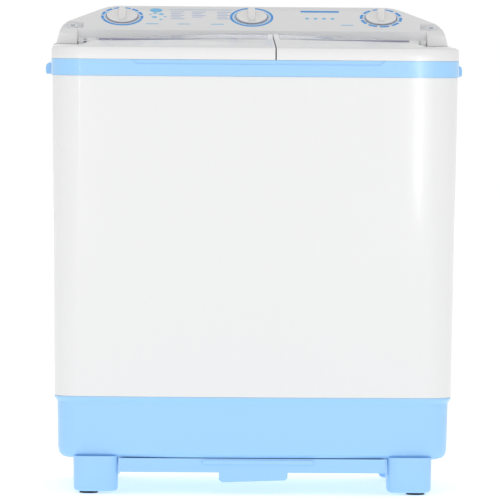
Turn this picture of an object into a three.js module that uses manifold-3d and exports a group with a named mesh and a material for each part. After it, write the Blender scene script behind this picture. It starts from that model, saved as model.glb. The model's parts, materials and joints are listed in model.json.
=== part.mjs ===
// A twin tub washer: a wash tub with a pulsator on the left, a spin tub with a perforated basket on the
// right, one cabinet around both, and a control panel along the back. Millimetres, +Z up, the front faces -Y,
// and the origin is on the floor under the middle of the cabinet.
import * as THREE from "three";
import { mergeVertices } from "three/addons/utils/BufferGeometryUtils.js";
import Module from "manifold-3d";

const wasm = await Module();
wasm.setup();

// ---------------------------------------------------------------- driving dimensions
const WIDTH = 700; // across the top frame, without its side handles
const DEPTH = 420; // front to back
const HEIGHT = 836; // floor to the top of the control panel
const GAP = 0.3; // between two pieces that touch
const SKIN = 3; // wall of the moulded shells

const HALF_W = WIDTH / 2;
const FRONT = -DEPTH / 2;
const BACK = DEPTH / 2;
const CORNER_R = 50; // front corners in plan
const BACK_CORNER_R = 26;
const BOW = 8; // the front's swell between its corners

// heights of the stacked shells
const PAD_TOP = 5;
const BASE_BOTTOM = 61;
const BASE_FLOOR = 66;
const BASE_TOP = 168;
const CASING_TOP = 718;
const DECK_BOTTOM = 740;
const DECK_TOP = 746;
const LID_FLANGE = 768.5;

// cabinet draft: the casing and base narrow towards the floor
const CASING_TOP_IN = 1.8;
const CASING_BOTTOM_IN = 8.7;
const BASE_TOP_IN = 13.8;
const BASE_BOTTOM_IN = 15.6;

// lids and their hinge line
const LID_SPLIT = 34; // x of the gap between the two lids
const LID_GAP = 2.2;
const LID_REAR = 99;
const HINGE_Y = 103;
const HINGE_Z = 774;
const ROD_R = 2.5;

// control panel
const PANEL_TILT = THREE.MathUtils.degToRad(25);
const PANEL_TOP_Y = 204; // the back edge of the sloping face
const PANEL_WALL_Y = 114; // the wall behind the lids
const EAR_Y = 101; // the panel's ends reach further forward
const EAR_X = 308;
const KNOB_Y = 164;
const KNOB_X = { wash: -229, selector: 0, spin: 229 };
const KNOB_R = 28;

// tubs
const WASH = new THREE.Vector2(-160, -33);
const SPIN = new THREE.Vector2(190, -33);
const TUB_FLOOR = 340;
const SPIN_R = 131;
const BASKET_R = 114;

// wash drive
const PULLEY_Z = 205;
const PULLEY_R = 80;
const MOTOR_PULLEY_R = 26;
const WASH_MOTOR = new THREE.Vector2(-12, -104);

// ---------------------------------------------------------------- materials
const plastic = (colour, roughness = 0.35) => new THREE.MeshStandardMaterial({ color: colour, roughness });
const metal = (colour, roughness) => new THREE.MeshStandardMaterial({ color: colour, roughness, metalness: 1 });
const WHITE = plastic(0xf2f2f2);
const BLUE = plastic(0xa8d8fe);
const PANEL_GREY = plastic(0xdcdcdc, 0.4);
const TUB_WHITE = plastic(0xe9edf2);
const RUBBER = plastic(0x1c1d20, 0.8);
const BLACK = plastic(0x2a2c30, 0.55);
const CLEAR = new THREE.MeshStandardMaterial({ color: 0xdfe4f2, roughness: 0.08, transparent: true, opacity: 0.4 });
const STEEL = metal(0xb9bdc2, 0.35);
const ALUMINIUM = metal(0xa9adb3, 0.5);

// ---------------------------------------------------------------- solids
// A closed three.js geometry as a Manifold solid, turned the right way out.
function solid(geometry) {
  const bare = new THREE.BufferGeometry().setAttribute("position", geometry.getAttribute("position"));
  bare.setIndex(geometry.index);
  const merged = mergeVertices(bare, 1e-4);
  const at = merged.attributes.position;
  const corners = [new THREE.Vector3(), new THREE.Vector3(), new THREE.Vector3()];
  const kept = [];
  let volume = 0;
  for (let i = 0; i < merged.index.count; i += 3) {
    const [a, b, c] = [0, 1, 2].map((k) => merged.index.getX(i + k));
    if (a === b || b === c || a === c) continue;
    kept.push(a, b, c);
    [a, b, c].forEach((v, k) => corners[k].fromBufferAttribute(at, v));
    volume += corners[0].dot(corners[1].clone().cross(corners[2]));
  }
  if (volume < 0) kept.reverse();
  const mesh = new wasm.Mesh({ numProp: 3, vertProperties: at.array, triVerts: new Uint32Array(kept) });
  return new wasm.Manifold(mesh);
}

// A Manifold solid as a named three.js mesh.
function piece(name, made, material) {
  const mesh = made.getMesh();
  const geometry = new THREE.BufferGeometry();
  geometry.setAttribute("position", new THREE.BufferAttribute(Float32Array.from(mesh.vertProperties), 3));
  geometry.setIndex(new THREE.BufferAttribute(Uint32Array.from(mesh.triVerts), 1));
  geometry.computeVertexNormals();
  const made3 = new THREE.Mesh(geometry, material);
  made3.name = name;
  return made3;
}

const join = (...solids) => solids.reduce((a, b) => a.add(b));
const cut = (body, ...tools) => tools.reduce((a, b) => a.subtract(b), body);

// A box between two opposite corners.
function block(x0, y0, z0, x1, y1, z1) {
  const box = new THREE.BoxGeometry(x1 - x0, y1 - y0, z1 - z0);
  return solid(box.translate((x0 + x1) / 2, (y0 + y1) / 2, (z0 + z1) / 2));
}

// A shape of two coordinates swept along the third axis: "x" takes (y, z), "y" takes (x, z), "z" takes (x, y).
function prism(shape, axis, from, to) {
  const geometry = new THREE.ExtrudeGeometry(shape, { depth: to - from, bevelEnabled: false, curveSegments: 8 });
  if (axis === "z") return solid(geometry.translate(0, 0, from));
  if (axis === "y") return solid(geometry.rotateX(Math.PI / 2).translate(0, to, 0));
  const cycle = new THREE.Matrix4().set(0, 0, 1, 0, 1, 0, 0, 0, 0, 1, 0, 0, 0, 0, 0, 1);
  return solid(geometry.applyMatrix4(cycle).translate(from, 0, 0));
}

// A solid of revolution about the vertical through (x, y), from a closed profile of [radius, z] pairs.
function turned(x, y, profile, segments = 32) {
  const points = profile.map(([r, z]) => new THREE.Vector2(r, z));
  if (profile[0][0] > 0) points.push(points[0].clone());
  const lathe = new THREE.LatheGeometry(points, segments);
  return solid(lathe.rotateX(Math.PI / 2).translate(x, y, 0));
}

const rod = (x, y, z0, z1, r, segments = 18) => turned(x, y, [[0, z0], [r, z0], [r, z1], [0, z1]], segments);
const sleeve = (x, y, z0, z1, inner, outer, segments = 20) =>
  turned(x, y, [[inner, z0], [outer, z0], [outer, z1], [inner, z1]], segments);

// A round bar along X or Y.
function bar(axis, from, to, a, b, r, segments = 16) {
  const circle = new THREE.Shape().absarc(a, b, r, 0, Math.PI * 2);
  const geometry = new THREE.Shape(circle.getPoints(segments).slice(0, -1));
  return prism(geometry, axis, from, to);
}

// A round section swept along a smooth curve through points.
function tube(points, radius, steps, sides = 10) {
  const path = new THREE.CatmullRomCurve3(points.map((p) => new THREE.Vector3(...p)), false, "centripetal");
  const section = new THREE.Shape(new THREE.Shape().absarc(0, 0, radius, 0, Math.PI * 2).getPoints(sides).slice(0, -1));
  return solid(new THREE.ExtrudeGeometry(section, { steps, extrudePath: path }));
}

// A closed solid through rings of points, each ring counterclockwise from above and all of one length.
function loft(rings) {
  const n = rings[0].length;
  const index = [];
  for (let k = 0; k + 1 < rings.length; k++) {
    for (let i = 0; i < n; i++) {
      const a = k * n + i;
      const b = k * n + ((i + 1) % n);
      index.push(a, b, b + n, a, b + n, a + n);
    }
  }
  const top = (rings.length - 1) * n;
  const flat = (ring) => THREE.ShapeUtils.triangulateShape(ring.map((p) => new THREE.Vector2(p.x, p.y)), []);
  flat(rings[0]).forEach(([a, b, c]) => index.push(c, b, a));
  flat(rings.at(-1)).forEach(([a, b, c]) => index.push(top + a, top + b, top + c));
  const geometry = new THREE.BufferGeometry().setFromPoints(rings.flat());
  return solid(geometry.setIndex(index));
}

// Points of a rounded corner in plan.
function corner(cx, cy, r, startDeg, steps) {
  return Array.from({ length: steps + 1 }, (_, i) => {
    const angle = THREE.MathUtils.degToRad(startDeg + (90 * i) / steps);
    return [cx + r * Math.cos(angle), cy + r * Math.sin(angle)];
  });
}

// A rounded rectangle ring at height z.
function boxRing(cx, cy, halfX, halfY, r, z, steps = 6) {
  const [x, y] = [halfX - r, halfY - r];
  const plan = [
    ...corner(cx - x, cy - y, r, 180, steps),
    ...corner(cx + x, cy - y, r, 270, steps),
    ...corner(cx + x, cy + y, r, 0, steps),
    ...corner(cx - x, cy + y, r, 90, steps),
  ];
  return plan.map(([px, py]) => new THREE.Vector3(px, py, z));
}

// The cabinet's plan outline at height z, moved in by inset, with the front bowed between its corners.
function cabinetRing(z, inset, backInset = inset) {
  const halfX = HALF_W - inset;
  const front = FRONT + inset;
  const back = BACK - backInset;
  const rf = Math.max(CORNER_R - inset, 4);
  const rb = Math.max(BACK_CORNER_R - inset, 4);
  const flatHalf = halfX - rf;
  const bowed = Array.from({ length: 7 }, (_, i) => {
    const t = (i + 1) / 8;
    return [flatHalf * (2 * t - 1), front + BOW * (1 - 4 * t * (1 - t))];
  });
  const plan = [
    ...corner(-flatHalf, front + BOW + rf, rf, 180, 8),
    ...bowed,
    ...corner(flatHalf, front + BOW + rf, rf, 270, 8),
    ...corner(halfX - rb, back - rb, rb, 0, 4),
    ...corner(rb - halfX, back - rb, rb, 90, 4),
  ];
  return plan.map(([x, y]) => new THREE.Vector3(x, y, z));
}

// ---------------------------------------------------------------- cabinet
const BACK_FACE = 3.3; // the casing's back stands this far inside the deepest line
const COVER_HALF = 268;
const COVER_Z = [186, 606];

function casing() {
  const outer = loft([
    cabinetRing(BASE_TOP + GAP, CASING_BOTTOM_IN, BACK_FACE),
    cabinetRing(CASING_TOP - GAP, CASING_TOP_IN, BACK_FACE),
  ]);
  const inner = loft([
    cabinetRing(BASE_TOP - 1, CASING_BOTTOM_IN + SKIN, BACK_FACE + SKIN),
    cabinetRing(CASING_TOP + 1, CASING_TOP_IN + SKIN, BACK_FACE + SKIN),
  ]);
  const rim = 14;
  const serviceHole = block(
    rim - COVER_HALF, BACK - 20, COVER_Z[0] + rim, COVER_HALF - rim, BACK + 5, COVER_Z[1] - rim);
  return cut(outer, inner, serviceHole);
}

const DRAIN_EXIT = { x: 0, z: 244, r: 13 };
const GLAND = { x: 205, z: 250, r: 9 };

// The service cover: a flat plate with two banks of cooling slots, and holes for the drain and the cord gland.
function rearCover() {
  const shape = new THREE.Shape();
  boxRing(0, (COVER_Z[0] + COVER_Z[1]) / 2, COVER_HALF, (COVER_Z[1] - COVER_Z[0]) / 2, 14, 0, 4)
    .forEach((p, i) => (i ? shape.lineTo(p.x, p.y) : shape.moveTo(p.x, p.y)));
  let cover = prism(shape, "y", BACK - BACK_FACE + GAP, BACK);
  for (const side of [-1, 1]) {
    for (let i = 0; i < 5; i++) {
      const z = 420 + i * 28;
      cover = cut(cover, block(side * 150 - 62, BACK - 9, z, side * 150 + 62, BACK + 1, z + 6));
    }
  }
  const drainHole = bar("y", BACK - 9, BACK + 1, DRAIN_EXIT.x, DRAIN_EXIT.z, DRAIN_EXIT.r + GAP, 24);
  const glandHole = bar("y", BACK - 9, BACK + 1, GLAND.x, GLAND.z, GLAND.r + GAP);
  return cut(cover, drainHole, glandHole);
}

// The cord gland: a bush through the cover with a flange inside, bored for the supply cord.
function cordGland() {
  const bush = bar("y", BACK - 22, BACK - GAP, GLAND.x, GLAND.z, GLAND.r, 10);
  const flange = bar("y", BACK - 22, BACK - BACK_FACE - GAP, GLAND.x, GLAND.z, GLAND.r + 4, 10);
  return cut(join(bush, flange), bar("y", BACK - 23, BACK + 1, GLAND.x, GLAND.z, 4.2, 8));
}

const COVER_SLIDE_HALF = 222; // half width of the sliding bottom cover's plate
const RAIL_Z = 48.5;

// The base: a tray with an outward flange under the casing, a rounded lower edge, and rails for its cover.
function base() {
  const outer = loft([
    cabinetRing(BASE_BOTTOM, BASE_BOTTOM_IN + 16, BASE_BOTTOM_IN + 10),
    cabinetRing(BASE_BOTTOM + 2.5, BASE_BOTTOM_IN + 7, BASE_BOTTOM_IN + 5),
    cabinetRing(BASE_BOTTOM + 8, BASE_BOTTOM_IN + 2, BASE_BOTTOM_IN + 1.5),
    cabinetRing(BASE_BOTTOM + 18, BASE_BOTTOM_IN),
    cabinetRing(BASE_TOP - 10, BASE_TOP_IN),
    cabinetRing(BASE_TOP - 3, CASING_BOTTOM_IN, BACK_FACE),
    cabinetRing(BASE_TOP, CASING_BOTTOM_IN, BACK_FACE),
  ]);
  const inner = loft([
    cabinetRing(BASE_FLOOR, BASE_BOTTOM_IN + 20),
    cabinetRing(BASE_FLOOR + 14, BASE_BOTTOM_IN + SKIN + 1),
    cabinetRing(BASE_TOP - 12, BASE_TOP_IN + SKIN + 1),
    cabinetRing(BASE_TOP + 1, BASE_TOP_IN + SKIN + 1),
  ]);
  const serviceHole = block(-150, -130, BASE_BOTTOM - 1, 90, 130, BASE_FLOOR + 1);
  const rails = [-1, 1].map((side) => {
    const [web0, web1] = [side * (COVER_SLIDE_HALF + 1), side * (COVER_SLIDE_HALF + 5)].sort((a, b) => a - b);
    const [foot0, foot1] = [side * (COVER_SLIDE_HALF - 8), side * (COVER_SLIDE_HALF + 5)].sort((a, b) => a - b);
    const web = block(web0, -165, RAIL_Z, web1, 180, BASE_BOTTOM + 1);
    return join(web, block(foot0, -165, RAIL_Z, foot1, 180, RAIL_Z + 3));
  });
  return join(cut(outer, inner, serviceHole), ...rails);
}

// The sliding cover under the base: a plate, a front strip with a ledge, and a pull tab below it.
function bottomCover() {
  const y = -187; // front of the strip
  const plate = block(-COVER_SLIDE_HALF, y, RAIL_Z + 3.5, COVER_SLIDE_HALF, 170, RAIL_Z + 6.5);
  const strip = block(-228, y, 38, 228, y + 3, BASE_BOTTOM - 1.5);
  const ledge = block(-86, y - 3, 52, 104, y + 1, BASE_BOTTOM - 1.5);
  const tabShape = new THREE.Shape([[-58, 40], [-58, 26], [-52, 21], [56, 25], [60, 29], [60, 40]]
    .map((p) => new THREE.Vector2(...p)));
  const tab = prism(tabShape, "y", y, y + 3);
  const tabFoot = block(-58, y + 2, 38, 60, y + 14, 41);
  return join(plate, strip, ledge, tab, tabFoot);
}

const LEG = { inner: 231, outer: 307, near: 120, far: 194 };
const PAD = { x: 281, y: 158, r: 16 };

// A leg: a short column with a rounded outer corner, seated under the base.
function leg(sideX, sideY) {
  const [cx, cy] = [(sideX * (LEG.inner + LEG.outer)) / 2, (sideY * (LEG.near + LEG.far)) / 2];
  const [hx, hy] = [(LEG.outer - LEG.inner) / 2, (LEG.far - LEG.near) / 2];
  return loft([
    boxRing(cx, cy, hx - 4, hy - 4, 16, PAD_TOP),
    boxRing(cx, cy, hx - 1, hy - 1, 19, PAD_TOP + 2.5),
    boxRing(cx, cy, hx, hy, 20, PAD_TOP + 6),
    boxRing(cx, cy, hx + 0.8, hy + 0.8, 20, BASE_BOTTOM - GAP),
  ]);
}

function footPad(sideX, sideY) {
  const top = PAD_TOP - GAP;
  return turned(sideX * PAD.x, sideY * PAD.y, [[0, 0], [PAD.r - 1.5, 0], [PAD.r, 1.5], [PAD.r, top], [0, top]], 20);
}

// ---------------------------------------------------------------- top frame and tubs
const WASH_MOUTH = { hx: 154, hy: 128, r: 58 };
const SPIN_MOUTH_R = 128;
const HANDLE = { half: 62, z: 718 }; // half length along Y, height of the lip's lower edge

// A side handle: a lip that turns down, open below for the fingers.
function sideHandle(side) {
  const outline = (points) => new THREE.Shape(
    points.map(([out, up]) => new THREE.Vector2(side * (HALF_W + out), HANDLE.z + up)));
  const lip = prism(outline([[-4, 19], [6, 19], [9.5, 16], [10.5, 12], [10.5, 3], [9, 0],
    [7.5, 2], [7.5, 12], [5.5, 15.5], [-4, 15.5]]), "y", -HANDLE.half, HANDLE.half);
  const ends = [-1, 1].map((end) => {
    const [y0, y1] = [end * HANDLE.half, end * (HANDLE.half - 3)].sort((a, b) => a - b);
    const cap = outline([[-4, 19], [6, 19], [9.5, 16], [10.5, 12], [10.5, 3], [9, 0], [-1, 0], [-4, 2]]);
    return prism(cap, "y", y0, y1);
  });
  return join(lip, ...ends);
}

const INNER_LID = { z: DECK_TOP + 1, r: 124, hingeY: 94, hingeZ: DECK_TOP + 7, half: 40 };
const BRACKETS = [-301, 21, 47, 301]; // x of the four hinge posts
const BRACKET_HALF = 4;

// A hinge post on the deck, rounded about the hinge rod.
function hingePost(x) {
  const shape = new THREE.Shape();
  shape.moveTo(HINGE_Y - 2.9, DECK_TOP - 1);
  shape.lineTo(HINGE_Y + 6, DECK_TOP - 1);
  shape.lineTo(HINGE_Y + 5, HINGE_Z);
  shape.absarc(HINGE_Y, HINGE_Z, 5, 0, Math.PI * 0.7, false);
  shape.lineTo(HINGE_Y - 2.9, HINGE_Z);
  return prism(shape, "x", x - BRACKET_HALF, x + BRACKET_HALF);
}

// The two posts that carry the inner lid's pins.
function innerLidPost(side) {
  const { hingeY, hingeZ, half } = INNER_LID;
  const [x0, x1] = [side * (half + 1), side * (half + 6)].sort((a, b) => a - b);
  const post = block(SPIN.x + x0, hingeY - 4, DECK_TOP - 1, SPIN.x + x1, hingeY + 4, hingeZ + 4);
  return cut(post, bar("x", SPIN.x + x0 - 1, SPIN.x + x1 + 1, hingeY, hingeZ, 2.2, 10));
}

// The top frame: a band around the cabinet's top edge with a deck, two mouths, a finger recess and handles.
function topFrame() {
  const outer = loft([cabinetRing(CASING_TOP, 0), cabinetRing(DECK_TOP, 0)]);
  const under = loft([cabinetRing(CASING_TOP - 1, SKIN), cabinetRing(DECK_BOTTOM, SKIN)]);
  const washMouth = loft([DECK_BOTTOM - 1, DECK_TOP + 1].map((z) =>
    boxRing(WASH.x, WASH.y, WASH_MOUTH.hx, WASH_MOUTH.hy, WASH_MOUTH.r, z)));
  const spinMouth = rod(SPIN.x, SPIN.y, DECK_BOTTOM - 1, DECK_TOP + 1, SPIN_MOUTH_R, 32);
  const grip = loft([
    boxRing(4, FRONT - 6, 208, 14, 6, DECK_TOP - 8, 3),
    boxRing(4, FRONT - 6, 218, 20, 6, DECK_TOP + 1, 3),
  ]);
  const rodHole = rod(0, 165, DECK_BOTTOM - 1, DECK_TOP + 1, 8);
  const shell = cut(outer, under, washMouth, spinMouth, grip, rodHole);
  const posts = [...BRACKETS.map(hingePost), innerLidPost(-1), innerLidPost(1)];
  const made = join(shell, sideHandle(-1), sideHandle(1), ...posts);
  return cut(made, bar("x", -320, 320, HINGE_Y, HINGE_Z, ROD_R + GAP, 12));
}

const DRAIN_WASH = new THREE.Vector2(-62, 40);
const DRAIN_SPIN = new THREE.Vector2(118, 34);

// The wash tub: a tapering rounded bucket with a rim, a shaft hole and a drain stub.
function washTub() {
  const ring = (z, grow, r, hx, hy) => boxRing(WASH.x, WASH.y, hx + grow, hy + grow, r + grow, z, 5);
  const outer = loft([
    ring(TUB_FLOOR, -24, 84, 142, 121),
    ring(TUB_FLOOR + 8, -8, 90, 142, 121),
    ring(TUB_FLOOR + 24, 0, 92, 142, 121),
    ring(DECK_BOTTOM - GAP, 3, WASH_MOUTH.r, WASH_MOUTH.hx, WASH_MOUTH.hy),
  ]);
  const inner = loft([
    ring(TUB_FLOOR + 4, -27, 84, 142, 121),
    ring(TUB_FLOOR + 11, -11, 90, 142, 121),
    ring(TUB_FLOOR + 27, -3, 92, 142, 121),
    ring(DECK_BOTTOM + 1, 0, WASH_MOUTH.r, WASH_MOUTH.hx, WASH_MOUTH.hy),
  ]);
  const rim = loft([DECK_BOTTOM - 5, DECK_BOTTOM - GAP].map((z) =>
    ring(z, 11, WASH_MOUTH.r, WASH_MOUTH.hx, WASH_MOUTH.hy)));
  const stub = rod(DRAIN_WASH.x, DRAIN_WASH.y, TUB_FLOOR - 22, TUB_FLOOR + 3, 14);
  const drain = rod(DRAIN_WASH.x, DRAIN_WASH.y, TUB_FLOOR - 23, TUB_FLOOR + 12, 11);
  return cut(join(outer, rim, stub), inner, rod(WASH.x, WASH.y, TUB_FLOOR - 1, TUB_FLOOR + 12, 14), drain);
}

// The spin tub: a round bucket with a rim, a seal hole and a drain stub.
function spinTub() {
  const wall = turned(SPIN.x, SPIN.y, [
    [22, TUB_FLOOR], [SPIN_R - 16, TUB_FLOOR], [SPIN_R - 4, TUB_FLOOR + 12], [SPIN_R, DECK_BOTTOM - 5],
    [SPIN_R + 8, DECK_BOTTOM - 5], [SPIN_R + 8, DECK_BOTTOM - GAP], [SPIN_R - 3, DECK_BOTTOM - GAP],
    [SPIN_R - 7, TUB_FLOOR + 14], [SPIN_R - 18, TUB_FLOOR + 4], [22, TUB_FLOOR + 4],
  ], 26);
  const stub = rod(DRAIN_SPIN.x, DRAIN_SPIN.y, TUB_FLOOR - 22, TUB_FLOOR + 2, 14);
  return cut(join(wall, stub), rod(DRAIN_SPIN.x, DRAIN_SPIN.y, TUB_FLOOR - 23, TUB_FLOOR + 5, 11));
}

// The rubber boot that seals the spin shaft in the tub floor.
function spinTubSeal() {
  return turned(SPIN.x, SPIN.y, [
    [10.6, TUB_FLOOR - 18], [15, TUB_FLOOR - 18], [19, TUB_FLOOR - 6], [30, TUB_FLOOR - 4],
    [30, TUB_FLOOR - GAP], [21.6, TUB_FLOOR - GAP], [21.6, TUB_FLOOR + 10], [10.6, TUB_FLOOR + 16],
  ], 16);
}

// ---------------------------------------------------------------- lids
// Height of the lids' top above their flange: a slope up from the front, then a crown over the windows.
function lidRise(x, y) {
  const side = THREE.MathUtils.smoothstep(EAR_X - Math.abs(x), 0, 36);
  const slope = 12 * THREE.MathUtils.smoothstep(y, FRONT + 6, -40) * (0.65 + 0.35 * Math.cos((Math.PI * x) / 600));
  const arch = Math.max(0, 1 - (x / 285) ** 2);
  const along = THREE.MathUtils.clamp((y + 40) / 140, 0, 1);
  return side * (slope + 9 * arch * Math.sin(Math.PI * along) ** 2);
}

const LID_XS = [-356, -308, -299, -290, -281, -272, -230, -180, -120, -60, 0,
  60, 120, 180, 230, 272, 281, 290, 299, 308, 356];
const LID_YS = [-214, -170, -125, -80, -40, -15, 10, 30, 50, 75, 100, 112];

// Everything under the lids' top surface moved up by lift, down to floor.
function underLidSurface(lift, floor) {
  const rings = LID_YS.map((y) => [
    ...LID_XS.map((x) => new THREE.Vector3(x, y, LID_FLANGE + lift + lidRise(x, y))),
    ...LID_XS.toReversed().map((x) => new THREE.Vector3(x, y, floor)),
  ]);
  const n = rings[0].length;
  const index = [];
  for (let k = 0; k + 1 < rings.length; k++) {
    for (let i = 0; i < n; i++) {
      const a = k * n + i;
      const b = k * n + ((i + 1) % n);
      index.push(a, b, b + n, a, b + n, a + n);
    }
  }
  const last = (rings.length - 1) * n;
  for (let i = 0; i + 1 < LID_XS.length; i++) {
    const [a, b, c, d] = [i, i + 1, n - 2 - i, n - 1 - i];
    index.push(a, c, b, a, d, c, last + a, last + b, last + c, last + a, last + c, last + d);
  }
  return solid(new THREE.BufferGeometry().setFromPoints(rings.flat()).setIndex(index));
}

// The space of one lid between two x limits, moved in by t on every side.
function lidSpace(x0, x1, t) {
  const round = loft([
    cabinetRing(DECK_TOP + GAP - t, t),
    cabinetRing(LID_FLANGE - 6, t),
    cabinetRing(LID_FLANGE - 1.8, t + 1.8),
    cabinetRing(LID_FLANGE, t + 6),
    cabinetRing(LID_FLANGE + 40, t + 6),
  ]);
  const slab = block(x0 + t, FRONT - 5, DECK_TOP - 10, x1 - t, LID_REAR - t, LID_FLANGE + 60);
  return round.intersect(slab).intersect(underLidSurface(-t, DECK_TOP - 10));
}

const LIDS = {
  wash: { x0: -HALF_W - 1, x1: LID_SPLIT - LID_GAP / 2, knuckles: [-283, 3], window: [-272, 24] },
  spin: { x0: LID_SPLIT + LID_GAP / 2, x1: HALF_W + 1, knuckles: [62, 285], window: [44, 272], openBack: [72, 275] },
};
const WINDOW_Y = [-44, 80];

// The window's plan as a prism, grown by g on every side.
function windowPlan([x0, x1], g) {
  const [cx, cy] = [(x0 + x1) / 2, (WINDOW_Y[0] + WINDOW_Y[1]) / 2];
  const [hx, hy] = [(x1 - x0) / 2 + g, (WINDOW_Y[1] - WINDOW_Y[0]) / 2 + g];
  return loft([DECK_TOP + 4, LID_FLANGE + 50].map((z) => boxRing(cx, cy, hx, hy, 12 + g, z, 4)));
}

function lid({ x0, x1, knuckles, window, openBack }) {
  let shell = cut(lidSpace(x0, x1, 0), lidSpace(x0, x1, SKIN), windowPlan(window, 0));
  for (const x of BRACKETS) { // a notch around each hinge post
    shell = cut(shell, block(x - 6, LID_REAR - 8, DECK_TOP - 1, x + 6, LID_REAR + 1, LID_FLANGE + 40));
  }
  if (openBack) {
    const [from, to] = openBack; // leaves room for the inner lid to swing up behind this one
    shell = cut(shell, block(from, LID_REAR - SKIN - 1, DECK_TOP - 1, to, LID_REAR + 1, LID_FLANGE + 1));
  }
  const barrels = knuckles.map((x) => join(
    block(x - 8, LID_REAR - 3, HINGE_Z - 7, x + 8, HINGE_Y, HINGE_Z + 1),
    bar("x", x - 8, x + 8, HINGE_Y, HINGE_Z, 5.2, 16)));
  return cut(join(shell, ...barrels), bar("x", -320, 320, HINGE_Y, HINGE_Z, ROD_R + GAP, 12));
}

// The clear window: flush with the lid's top, with a wider flange under it.
function lidWindow({ window }) {
  const pane = cut(underLidSurface(0, DECK_TOP), underLidSurface(-SKIN - 2, DECK_TOP - 1));
  const ledge = cut(underLidSurface(-SKIN - GAP, DECK_TOP), underLidSurface(-SKIN - 2, DECK_TOP - 1));
  return join(pane.intersect(windowPlan(window, -GAP)), ledge.intersect(windowPlan(window, 5)));
}

const hingeRod = (from, to) => bar("x", from, to, HINGE_Y, HINGE_Z, ROD_R, 10);


// The inner safety lid of the spin tub: a disc with a raised rim, a finger tab and a hinge barrel.
function innerLid() {
  const { z, r, hingeY, hingeZ, half } = INNER_LID;
  const disc = turned(SPIN.x, SPIN.y, [
    [0, z], [r, z], [r, z + 7], [r - 3, z + 7], [r - 3, z + 3], [40, z + 3], [34, z + 7], [0, z + 7]], 30);
  const arm = block(SPIN.x - half, hingeY - 16, z, SPIN.x + half, hingeY, z + 6);
  const barrel = bar("x", SPIN.x - half, SPIN.x + half, hingeY, hingeZ, 3.6, 12);
  const pin = bar("x", SPIN.x - half - 5.5, SPIN.x + half + 5.5, hingeY, hingeZ, 1.8, 10);
  const tab = block(SPIN.x - 20, SPIN.y - r - 8, z, SPIN.x + 20, SPIN.y - r + 2, z + 4);
  return join(disc, arm, barrel, pin, tab);
}

// ---------------------------------------------------------------- control panel
// The panel's outline seen from the front, moved in by t.
function panelOutline(t) {
  const right = [[HALF_W - 5, LID_FLANGE], [341, HEIGHT - 52], [338, HEIGHT - 42], [333, HEIGHT - 34],
    [325, HEIGHT - 28], [268, HEIGHT - 6.5], [253, HEIGHT - 2], [238, HEIGHT]];
  const points = [...right, ...right.toReversed().map(([x, z]) => [-x, z])];
  return new THREE.Shape(points.map(([x, z]) => new THREE.Vector2(x - Math.sign(x) * t, z - t)));
}

const faceZ = (y) => HEIGHT - (PANEL_TOP_Y - y) * Math.tan(PANEL_TILT);

// The panel's section seen from the side, moved in by t, with its front wall at y.
function panelSection(y, t) {
  const front = y + t;
  const drop = t / Math.cos(PANEL_TILT);
  return new THREE.Shape([
    [front, LID_FLANGE + GAP - t], [BACK - 0.5 - t, LID_FLANGE + GAP - t], [BACK - 0.5 - t, HEIGHT - 5 - t],
    [PANEL_TOP_Y + 2 - t, HEIGHT - t], [PANEL_TOP_Y - 4 - t, faceZ(PANEL_TOP_Y - 4 - t) - drop],
    [front, faceZ(front) - drop]].map((p) => new THREE.Vector2(...p)));
}

function panelSpace(t) {
  const whole = prism(panelOutline(t), "y", 80, 240).intersect(prism(panelSection(EAR_Y, t), "x", -360, 360));
  const notch = block(-EAR_X - t, 80, LID_FLANGE - 20, EAR_X + t, PANEL_WALL_Y + t, HEIGHT + 10);
  return cut(whole, notch);
}

// Places a solid made about the origin, its Z along the face's normal, on the panel's face at x and y.
function onFace(made, x, y) {
  const degrees = THREE.MathUtils.radToDeg(PANEL_TILT);
  return made.rotate([degrees, 0, 0]).translate([x, y, faceZ(y)]);
}

const SPIGOT = { x: 316, y: 131, r: 8 };

function panelFascia() {
  const pocketBlock = (side, grow, depth) => onFace(
    block(-19 - grow, -13 - grow, -depth, 19 + grow, 13 + grow, 6), side * SPIGOT.x, SPIGOT.y);
  const outer = panelSpace(0);
  let made = cut(outer, panelSpace(SKIN));
  for (const side of [-1, 1]) {
    made = join(made, pocketBlock(side, 2.5, 11).intersect(outer));
    made = cut(made, pocketBlock(side, 0, 8), onFace(rod(0, 0, -14, 0, SPIGOT.r + GAP), side * SPIGOT.x, SPIGOT.y));
  }
  return cut(made, ...Object.values(KNOB_X).map((x) => onFace(rod(0, 0, -8, 4, 4.5, 16), x, KNOB_Y)));
}

// The water inlet spigot that stands in the pocket at each end of the panel.
function inletSpigot(side) {
  const pipe = cut(join(rod(0, 0, -24, -1, SPIGOT.r, 20), rod(0, 0, -24, -11 - GAP, SPIGOT.r + 3, 20)),
    rod(0, 0, -25, 0, SPIGOT.r - 2.5, 16));
  return onFace(pipe, side * SPIGOT.x, SPIGOT.y);
}

// The panel's white base: a tray on the deck, cut away in front for the lids' hinges.
function panelBase() {
  const shape = (t, z0, z1) => cut(
    loft([cabinetRing(z0, t), cabinetRing(z1, t)]),
    block(-400, -300, z0 - 1, 400, LID_REAR + 1.5 + t, z1 + 1),
    block(-EAR_X - t, 0, z0 - 1, EAR_X + t, PANEL_WALL_Y + t, z1 + 1));
  const rodHole = rod(0, 165, DECK_TOP - 1, DECK_TOP + 6, 6);
  return cut(shape(0, DECK_TOP + GAP, LID_FLANGE), shape(SKIN, DECK_TOP + 3.3, LID_FLANGE + 1), rodHole);
}

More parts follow.
